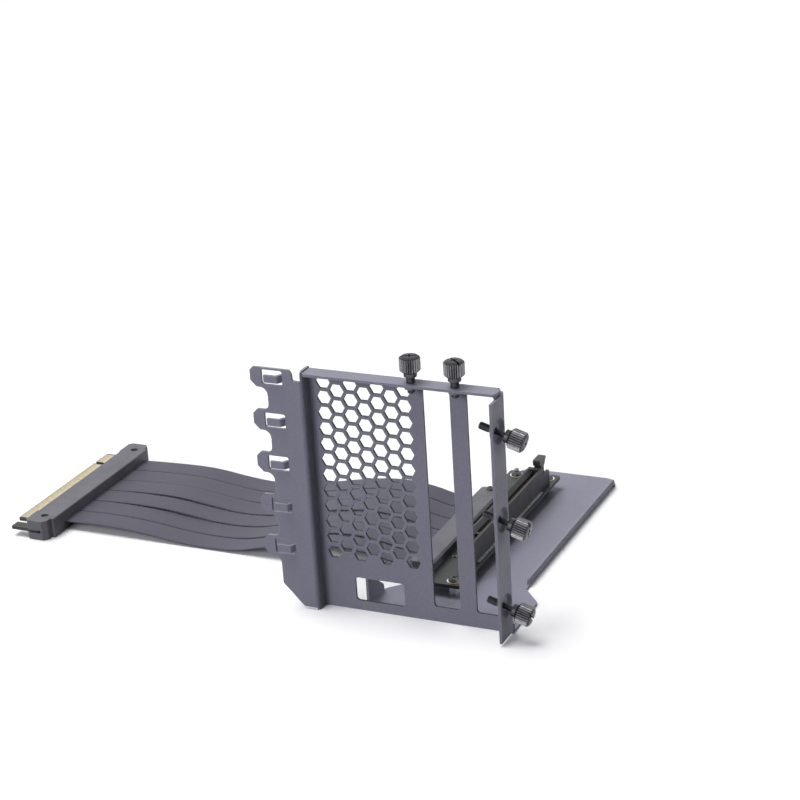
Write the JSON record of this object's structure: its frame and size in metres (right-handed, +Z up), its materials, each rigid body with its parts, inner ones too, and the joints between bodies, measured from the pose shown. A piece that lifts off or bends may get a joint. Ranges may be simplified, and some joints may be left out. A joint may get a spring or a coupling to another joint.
{
  "type": "vertical gpu bracket",
  "caption": "Folded steel rear bracket that holds a graphics card upright, with hand screws, a card socket on its arm and a flat ribbon cable to an edge plug.",
  "frame": {"origin": "on the arm's flat underside, below the middle line of the card socket and halfway along the foot and arm", "axes": "+X along the rear plate towards the side screws, +Y from the plate into the case along the arm, +Z up"},
  "size_m": [0.2893, 0.1818, 0.1272],
  "materials": {
    "bracket_paint": "satin powder coat, dark slate grey",
    "screw_black": "black oxide, knurled",
    "standoff_steel": "zinc plated",
    "small_screw_steel": "dark zinc plated",
    "board_black": "black solder mask",
    "socket_plastic": "moulded, fine grain",
    "cover_plastic": "moulded, fine grain",
    "ribbon_sleeve": "satin shielded sleeve",
    "contact_gold": "gold plated"
  },
  "bodies": {
    "bracket": {"rear_bracket": "bracket_paint", "board_standoffs": "standoff_steel", "socket_board": "board_black", "board_screws": "small_screw_steel", "slot_housing": "socket_plastic", "socket_cover_upper": "cover_plastic", "socket_cover_lower": "cover_plastic", "socket_cover_screws": "small_screw_steel", "plug_lower_shell": "cover_plastic", "plug_upper_shell": "cover_plastic", "plug_screws": "small_screw_steel", "edge_board": "board_black", "edge_fingers": "contact_gold", "ribbon_strip_1": "ribbon_sleeve", "ribbon_strip_2": "ribbon_sleeve", "ribbon_strip_3": "ribbon_sleeve", "ribbon_strip_4": "ribbon_sleeve", "ribbon_strip_5": "ribbon_sleeve", "ribbon_strip_6": "ribbon_sleeve"},
    "top_screw_left": {"top_thumbscrew_left": "screw_black"},
    "top_screw_right": {"top_thumbscrew_right": "screw_black"},
    "side_screw_lower": {"side_thumbscrew_lower": "screw_black"},
    "side_screw_middle": {"side_thumbscrew_middle": "screw_black"},
    "side_screw_upper": {"side_thumbscrew_upper": "screw_black"},
    "latch": {"slot_latch": "socket_plastic"}
  },
  "joints": [
    {"name": "top_screw_left_turn", "type": "hinge", "parent": "bracket", "child": "top_screw_left", "pos_m": [-0.0006, -0.0898, 0.115], "axis": [0, 0, 1], "continuous": true},
    {"name": "top_screw_right_turn", "type": "hinge", "parent": "bracket", "child": "top_screw_right", "pos_m": [0.01972, -0.0898, 0.115], "axis": [0, 0, 1], "continuous": true},
    {"name": "side_screw_lower_turn", "type": "hinge", "parent": "bracket", "child": "side_screw_lower", "pos_m": [0.0377, -0.092, 0.01686], "axis": [0.9563, 0, -0.2924], "continuous": true},
    {"name": "side_screw_middle_turn", "type": "hinge", "parent": "bracket", "child": "side_screw_middle", "pos_m": [0.0377, -0.092, 0.0575], "axis": [0.9563, 0, -0.2924], "continuous": true},
    {"name": "side_screw_upper_turn", "type": "hinge", "parent": "bracket", "child": "side_screw_upper", "pos_m": [0.0377, -0.092, 0.09814], "axis": [0.9563, 0, -0.2924], "continuous": true},
    {"name": "latch_turn", "type": "hinge", "parent": "bracket", "child": "latch", "pos_m": [0, 0.0512, 0.0124], "axis": [-1, 0, 0], "range_deg": [0, 25]}
  ]
}
